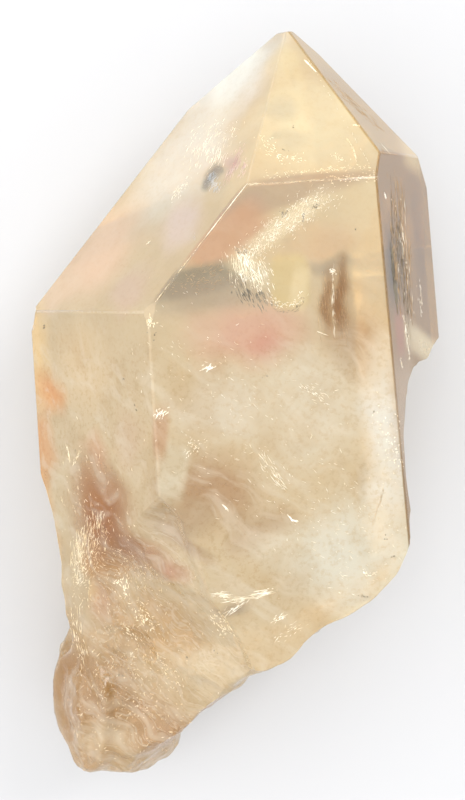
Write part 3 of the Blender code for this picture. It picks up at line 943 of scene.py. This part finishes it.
tipSmudge = {"seed": 32, "onto": "leftTip", "trails": [
    dict(route=[(-12.0, -18.6), (-12.5, -19.6), (-12.2, -20.9)], spread=(0.28, 0.30, 0.4), count=120,
         grain=(-0.2, -0.9, 0.3), stray=0.35, length=(0.2, 0.9), width=(0.04, 0.10)),
    dict(route=[(-12.4, -18.8), (-12.6, -19.4)], spread=(0.2, 0.2, 0.2), count=40, stray=0.6,
         length=(0.2, 0.5), width=(0.06, 0.14)),
    dict(route=[(-15.6, -26.0), (-15.7, -26.6)], spread=(0.16, 0.16, 0.1), count=12, stray=0.5,
         length=(0.15, 0.4), width=(0.03, 0.08)),
]}
tipRust = {"seed": 33, "onto": "leftTip", "trails": [
    dict(route=[(-8.7, -15.9), (-9.7, -18.0), (-11.3, -20.2)], spread=(0.35, 0.4, 0.4), count=90,
         grain=(-0.45, -0.75, 0.45), stray=0.1, length=(0.3, 2.0), width=(0.02, 0.07)),
    dict(route=[(-8.6, -17.6), (-9.6, -19.4)], spread=(0.25, 0.3, 0.3), count=40, grain=(-0.45, -0.75, 0.45),
         stray=0.12, length=(0.3, 1.4), width=(0.02, 0.06)),
]}
tipFlecks = {"seed": 34, "onto": "frontTip", "trails": [
    dict(route=[(-6.6, -15.0), (-5.3, -16.5), (-4.3, -17.9), (-2.0, -17.7)], spread=(0.6, 0.4, 0.3), count=70,
         stray=0.6, length=(0.15, 0.7), width=(0.03, 0.10)),
    dict(route=[(-7.2, -19.6), (-3.0, -19.5), (2.2, -19.3), (5.6, -19.4)], spread=(0.6, 0.25, 0.2), count=90,
         stray=0.6, length=(0.12, 0.5), width=(0.03, 0.09)),
    dict(route=[(1.6, -17.6), (2.9, -18.4)], spread=(0.35, 0.35, 0.2), count=30, stray=0.7,
         length=(0.12, 0.5), width=(0.03, 0.10)),
    dict(route=[(3.9, -15.6), (4.4, -17.0), (4.4, -18.6)], spread=(0.04, 0.1, 0.05), count=30, stray=0.08,
         length=(0.3, 0.9), width=(0.02, 0.05)),
    dict(route=[(1.1, -5.2), (2.1, -6.7)], spread=(0.04, 0.1, 0.05), count=26, stray=0.08, length=(0.5, 1.2),
         width=(0.05, 0.12)),
    dict(route=[(5.2, -14.0), (5.8, -14.2)], spread=(0.15, 0.08, 0.05), count=14, stray=0.3,
         length=(0.2, 0.5), width=(0.05, 0.13)),
]}
addSlivers("tipWisps", tipWisps, brightCrackAndGlint)
addSlivers("tipSmudge", tipSmudge, greySmudge)
addSlivers("tipRust", tipRust, rustyStreak)
addSlivers("tipFlecks", tipFlecks, goldenCrackAndGlint)


def edgeRoute(start, end, fromShare=0.0, toShare=1.0):
    # a stretch of the straight edge between two corners, given by shares of its length
    return [start + (end - start) * share for share in (fromShare, toShare)]


# Light caught along the crystal's worn edges.
tip = np.zeros(3)
leftShoulder = cornerOf("leftTip", "front", "left")
topLeft = cornerOf("leftTip", "front", "frontTip")
topRight = cornerOf("right", "front", "frontTip")
edgeWhite = {"seed": 41, "onto": None, "trails": [
    dict(route=edgeRoute(topLeft, leftShoulder, toShare=0.4), spread=0.015, count=110, stray=0.015,
         length=(0.5, 1.5), width=(0.03, 0.08)),
]}
edgeGold = {"seed": 42, "onto": None, "trails": [
    dict(route=edgeRoute(topLeft, leftShoulder, fromShare=0.4), spread=0.03, count=50, stray=0.05,
         length=(0.15, 0.9), width=(0.015, 0.05)),
    dict(route=edgeRoute(topLeft, topRight), spread=(0.05, 0.04, 0.02), count=70, stray=0.04,
         length=(0.15, 1.2), width=(0.015, 0.05)),
    dict(route=edgeRoute(topLeft, topRight, fromShare=0.6), onto="front", spread=(0.3, 0.35), count=50,
         stray=0.7, length=(0.12, 0.4), width=(0.03, 0.10)),
    dict(route=[(-21.9, -35.3, 16.2), (-21.9, -36.0, 16.2)], onto="skin", spread=(0.35, 0.3, 0.1), count=30,
         stray=0.6, length=(0.2, 0.6), width=(0.05, 0.13)),
]}
addSlivers("edgeWhite", edgeWhite, brightCrackAndGlint)
addSlivers("edgeGold", edgeGold, goldenCrackAndGlint)

# Cracks and painted glints in the milky body.
bodyCracksAndGlints = {"seed": 51, "onto": "front", "trails": [
    dict(route=[(-16.0, -41.9), (-15.0, -41.4)], spread=(0.3, 0.15), count=22, grain=(0.9, 0.4), stray=0.2,
         length=(0.3, 1.0), width=(0.04, 0.14)),
    dict(route=[(-21.6, -46.6), (-20.7, -46.2)], spread=(0.3, 0.3), count=30, grain=(0.7, 0.6), stray=0.4,
         length=(0.2, 0.8), width=(0.05, 0.15)),
    dict(route=[(-17.4, -50.2), (-18.2, -52.0)], spread=(0.6, 0.5), count=40, grain=(0.7, 0.7), stray=0.4,
         length=(0.15, 0.6), width=(0.03, 0.10)),
    dict(route=[(-9.6, -52.6), (-8.5, -54.6), (-7.0, -56.7)], spread=(0.5, 0.4), count=60, stray=0.15,
         length=(0.2, 1.6), width=(0.02, 0.07)),
    dict(route=[(-6.9, -60.2), (-6.5, -60.9), (-5.9, -61.1)], spread=(0.05, 0.05), count=26, stray=0.2,
         length=(0.3, 0.8), width=(0.05, 0.14)),
    dict(route=[(-14.8, -58.2), (-14.1, -59.0)], spread=(0.05, 0.05), count=12, stray=0.15, length=(0.3, 0.9),
         width=(0.04, 0.10)),
    dict(route=[(-1.9, -38.4), (-1.0, -38.8)], spread=(0.04, 0.04), count=10, stray=0.1, length=(0.4, 0.9),
         width=(0.03, 0.08)),
    dict(route=[(-3.8, -44.6), (-1.0, -47.0)], spread=(0.5, 0.4), count=40, stray=0.2, length=(0.2, 1.0),
         width=(0.02, 0.07)),
    dict(route=[(-16.6, -68.8), (-14.9, -69.5), (-13.3, -70.1), (-9.9, -69.4)], spread=(0.5, 0.22), count=110,
         grain=[(1, -0.08), (1, 0.12)], stray=0.06, length=(0.2, 2.2), width=(0.02, 0.09)),
    dict(route=[(-13.2, -70.4), (-15.1, -71.6)], spread=(0.25, 0.2), count=50, stray=0.15, length=(0.2, 1.3),
         width=(0.02, 0.07)),
    dict(route=[(-8.2, -72.6), (-9.5, -73.3)], spread=(0.3, 0.15), count=22, grain=(0.9, 0.4), stray=0.2,
         length=(0.3, 1.1), width=(0.03, 0.09)),
    dict(route=[(-6.3, -74.0), (-8.8, -75.6)], spread=(0.5, 0.3), count=26, grain=(0.9, 0.5), stray=0.2,
         length=(0.3, 1.1), width=(0.02, 0.07)),
    dict(route=[(2.0, -68.2), (2.7, -68.8), (3.5, -68.5)], spread=(0.15, 0.1), count=16, stray=0.4,
         length=(0.2, 0.7), width=(0.04, 0.12)),
    dict(route=[(5.2, -49.3), (6.6, -51.4), (6.9, -56.0)], spread=(0.8, 1.2), count=80, stray=0.6,
         length=(0.1, 0.4), width=(0.03, 0.09)),
    dict(route=[(-20.0, -38.5), (4.5, -70.0)], spread=(5.0, 4.0), count=380, grain=(0.75, -0.65), stray=0.35,
         length=(0.12, 0.9), width=(0.02, 0.05)),
]}
addSlivers("bodyCracksAndGlints", bodyCracksAndGlints, brightCrackAndGlint)

# Painted glints and cracks on the broken left side and the root, most of them thin and strewn wide.
rootCracksAndGlints = {"seed": 61, "onto": "skin", "trails": [
    dict(route=[(-32.4, -51.8, -1.6), (-31.9, -54.0, -1.4)], spread=0.15, count=16, stray=0.12,
         length=(0.4, 1.3), width=(0.03, 0.08)),
    dict(route=[(-30.4, -52.2, 1.4), (-31.5, -54.4, -0.9)], spread=0.15, count=16, stray=0.12,
         length=(0.4, 1.3), width=(0.03, 0.08)),
    dict(route=[(-29.0, -60.8, 4.2), (-30.6, -63.2, 1.8), (-32.2, -65.6, -1.0), (-32.8, -68.5, -1.8)],
         spread=0.8, count=170, grain=(-0.35, -0.9, -0.2), stray=0.15, length=(0.3, 2.2), width=(0.02, 0.07)),
    dict(route=[(-28.9, -61.6, 4.2), (-29.6, -65.0, 2.6), (-30.4, -68.5, 1.2), (-33.2, -71.4, -2.8)],
         spread=1.0, count=150, stray=0.35, length=(0.2, 1.4), width=(0.02, 0.08)),
    dict(route=[(-31.4, -66.4, 0.2), (-32.6, -70.6, -1.8)], spread=1.0, count=70, stray=0.8,
         length=(0.15, 0.7), width=(0.03, 0.10)),
    dict(route=[(-27.8, -69.4, 4.8), (-27.4, -70.9, 4.6)], spread=0.5, count=40, stray=0.5, length=(0.2, 0.8),
         width=(0.05, 0.16)),
    dict(route=[(-25.8, -73.2, 6.8), (-24.9, -74.4, 6.8), (-23.6, -73.8, 7.8)], spread=0.8, count=70,
         stray=0.7, length=(0.2, 0.9), width=(0.04, 0.12)),
    dict(route=[(-27.2, -76.2, 4.2), (-26.4, -77.4, 4.4)], spread=0.5, count=24, stray=0.3, length=(0.2, 0.9),
         width=(0.04, 0.12)),
    dict(route=[(-33.2, -73.8, -2.8), (-33.6, -78.0, -2.2), (-33.2, -80.4, -1.6)], spread=0.9, count=60,
         stray=0.12, length=(0.3, 1.8), width=(0.02, 0.08)),
    dict(route=[(-23.8, -80.2, 7.6), (-22.0, -83.6, 7.6)], spread=1.0, count=40, stray=0.7,
         length=(0.15, 0.7), width=(0.03, 0.09)),
    dict(route=[(-16.7, -72.9, 14.2), (-15.3, -74.6, 14.3)], spread=0.7, count=70, stray=0.6,
         length=(0.15, 0.8), width=(0.03, 0.11)),
    dict(route=[(-30, -58, 2), (-26, -72, 6), (-30, -88, 0), (-22, -88, 4)], spread=4.0, count=900, stray=0.7,
         length=(0.12, 0.9), width=(0.02, 0.07)),
]}
rootThreads = {"seed": 62, "onto": "skin", "trails": [
    dict(route=[(-30, -62, 2), (-26, -74, 6), (-30, -88, 0), (-20, -88, 4)], spread=4.0, count=260, stray=0.7,
         length=(0.15, 0.9), width=(0.02, 0.07)),
    dict(route=[(-26.5, -73.0, 6), (-22.0, -74.6, 8), (-18.5, -76.6, 11)], spread=0.7, count=50, stray=0.4,
         length=(0.2, 1.0), width=(0.03, 0.08)),
    dict(route=[(-19.0, -86.5, 2), (-12.0, -80.4, 8)], spread=0.6, count=150, stray=0.25, length=(0.3, 1.4),
         width=(0.05, 0.13)),
    dict(route=[(5.2, -58.0, 15), (3.4, -62.6, 16)], onto="front", spread=(0.08, 0.1), count=26, stray=0.05,
         length=(0.3, 1.2), width=(0.02, 0.05)),
]}
addSlivers("rootCracksAndGlints", rootCracksAndGlints, goldenCrackAndGlint)
addSlivers("rootThreads", rootThreads, brownLine)

# Scratches and smoke on the narrow right face, and light along its outer edge.
rightFoot = cornerOf("right", "rightBack", "rightTip")
rightEnd = rightFoot + (0.0, -20.5, 0.0)
sideGlints = {"seed": 71, "onto": "right", "trails": [
    dict(route=[(7.8, -22.6), (8.2, -23.1)], spread=0.12, count=18, stray=0.6, length=(0.3, 0.7),
         width=(0.06, 0.2)),
    dict(route=[(11.6, -26.8), (11.6, -28.6)], spread=0.15, count=14, stray=0.1, length=(0.3, 1.2),
         width=(0.04, 0.10)),
    dict(route=[(15.4, -34.8), (14.9, -38.4)], spread=(0.6, 0.8, 0.4), count=30, grain=(0.3, -0.9), stray=0.3,
         length=(0.3, 1.0), width=(0.03, 0.09)),
    dict(route=[(10.4, -37.6), (10.8, -40.8), (11.2, -43.0)], spread=(0.3, 0.6, 0.3), count=60,
         grain=(0.1, -0.98), stray=0.4, length=(0.2, 0.9), width=(0.04, 0.13)),
    dict(route=[(10.5, -24.0), (12.4, -36.0)], spread=(1.4, 3.0, 1.4), count=46, grain=(0.03, -1.0, 0.05),
         stray=0.04, length=(0.3, 2.4), width=(0.02, 0.06)),
    dict(route=edgeRoute(rightFoot, rightEnd), onto=None, spread=0.03, count=90, stray=0.03,
         length=(0.4, 1.8), width=(0.04, 0.12)),
    dict(route=edgeRoute(tip, topRight, fromShare=0.25), onto=None, spread=0.03, count=34, stray=0.04,
         length=(0.2, 1.0), width=(0.02, 0.06)),
    dict(route=[(8.9, -42.6), (9.2, -44.0)], spread=(0.3, 0.3, 0.2), count=22, stray=0.6, length=(0.2, 0.6),
         width=(0.05, 0.14)),
]}
sideThreads = {"seed": 72, "onto": "right", "trails": [
    dict(route=[(10.6, -22.0), (12.6, -34.0)], spread=(1.8, 3.5, 1.8), count=140, grain=(0.03, -1.0, 0.05),
         stray=0.04, length=(0.6, 4.5), width=(0.02, 0.07)),
    dict(route=[(9.0, -28.0), (9.6, -35.0)], spread=(0.6, 1.6, 0.6), count=90, grain=(0.03, -1.0, 0.05),
         stray=0.05, length=(0.6, 3.0), width=(0.05, 0.14)),
    dict(route=[(5.0, -9.0), (10.5, -14.0)], onto="rightTip", spread=(1.2, 1.2, 1.0), count=60,
         grain=(0.65, -0.7, -0.3), stray=0.08, length=(0.4, 2.4), width=(0.02, 0.07)),
]}
sideSmoke = {"seed": 73, "onto": "right", "trails": [
    dict(route=[(8.5, -30.5), (8.9, -35.4)], spread=(0.3, 1.0, 0.3), count=300, grain=(0.0, -1.0), stray=0.06,
         length=(0.5, 2.6), width=(0.05, 0.14)),
    dict(route=[(9.6, -25.0), (11.6, -36.5)], spread=(1.5, 2.5, 1.5), count=190, grain=(0.03, -1.0, 0.05),
         stray=0.04, length=(0.5, 3.6), width=(0.02, 0.06)),
]}
addSlivers("sideGlints", sideGlints, brightCrackAndGlint)
addSlivers("sideThreads", sideThreads, brownLine)
addSlivers("sideSmoke", sideSmoke, darkSpeck)

# Tiny dark grains, one by one or in small swarms: place and how many.
specks = {
    "seed": 81,
    "size": (0.14, 0.34),
    "swarm": (0.30, 0.30, 0.06),  # mm, how far the grains of a swarm spread
    "broad": 0.8,                 # width as a share of length
    "thickness": 0.06,
    "places": [
        ((-12.1, -33.2, 15.9), 2), ((-21.6, -37.3, 15.8), 5), ((4.4, -48.6, 15.9), 1),
        ((5.0, -64.3, 15.9), 3), ((5.7, -66.9, 15.8), 3), ((1.9, -71.2, 15.8), 7), ((-31.4, -52.7, 0.0), 2),
        ((-20.3, -78.8, 9.7), 3), ((-16.2, -77.6, 12.0), 2), ((-34.0, -36.6, -4.8), 8),
        ((-28.2, -62.0, 4.8), 2), ((-25.0, -42.5, 11.0), 3), ((-24.0, -46.0, 12.8), 4),
        ((-3.8, -16.8, 12.9), 3), ((-2.5, -14.1, 10.8), 2), ((3.4, -26.6, 15.9), 1),
        ((-9.0, -43.6, 15.9), 2), ((-33.3, -80.6, -1.4), 2), ((-28.6, -82.5, 3.0), 5),
    ],
}


def addSpecks():
    random = np.random.default_rng(specks["seed"])
    swarms = [np.array(where) + random.normal(0, 1, (count, 3)) * specks["swarm"] * (count > 1)
              for where, count in specks["places"]]
    centres = np.concatenate(swarms)
    centres, _, _ = ontoSkin(centres)
    count = len(centres)
    heading = random.normal(0, 1, (count, 3))
    heading /= np.linalg.norm(heading, axis=1, keepdims=True)
    across = np.cross(heading, random.normal(0, 1, (count, 3)))
    across /= np.linalg.norm(across, axis=1, keepdims=True)
    sizes = random.uniform(*specks["size"], (count, 1)) / 2
    across *= sizes * specks["broad"]
    mesh = slivers("specks", centres, heading * sizes, across, specks["thickness"])
    addPiece("specks", mesh, darkSpeck)
    print("specks:", count)


addSpecks()
print("crystal made")
